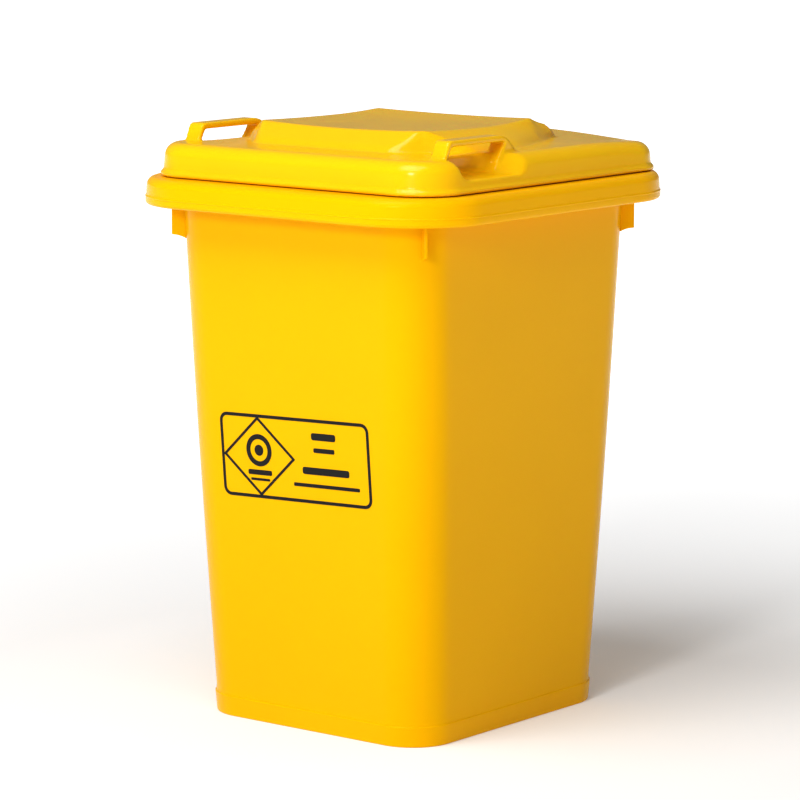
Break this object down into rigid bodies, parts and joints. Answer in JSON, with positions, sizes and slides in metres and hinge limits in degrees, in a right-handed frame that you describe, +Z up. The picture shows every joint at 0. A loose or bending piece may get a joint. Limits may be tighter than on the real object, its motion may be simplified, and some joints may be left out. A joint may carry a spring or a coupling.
{
  "type": "lidded waste bin",
  "caption": "Upright tapered plastic waste bin with a rolled rim and a rear-hinged domed lid that has side hand loops, for collecting clinical or laboratory waste.",
  "frame": {"origin": "middle of the rectangle that bounds the bin in plan, on the face it stands on", "axes": "+Z up, +X to the right when facing the front, -Y towards the front; the lid hinges at the back, +Y"},
  "size_m": [0.395, 0.45, 0.591],
  "materials": {
    "body_plastic": "glossy moulded polyethylene, yellow",
    "lid_plastic": "glossy moulded polyethylene, yellow",
    "pin_plastic": "moulded acetal, yellow"
  },
  "bodies": {
    "tub": {"bin_body": "body_plastic", "hinge_pin_left": "pin_plastic", "hinge_pin_right": "pin_plastic"},
    "lid": {"lid": "lid_plastic"}
  },
  "joints": [
    {"name": "lid_hinge", "type": "hinge", "parent": "tub", "child": "lid", "pos_m": [0, 0.2265, 0.541], "axis": [-1, 0, 0], "range_deg": [0, 225]}
  ]
}
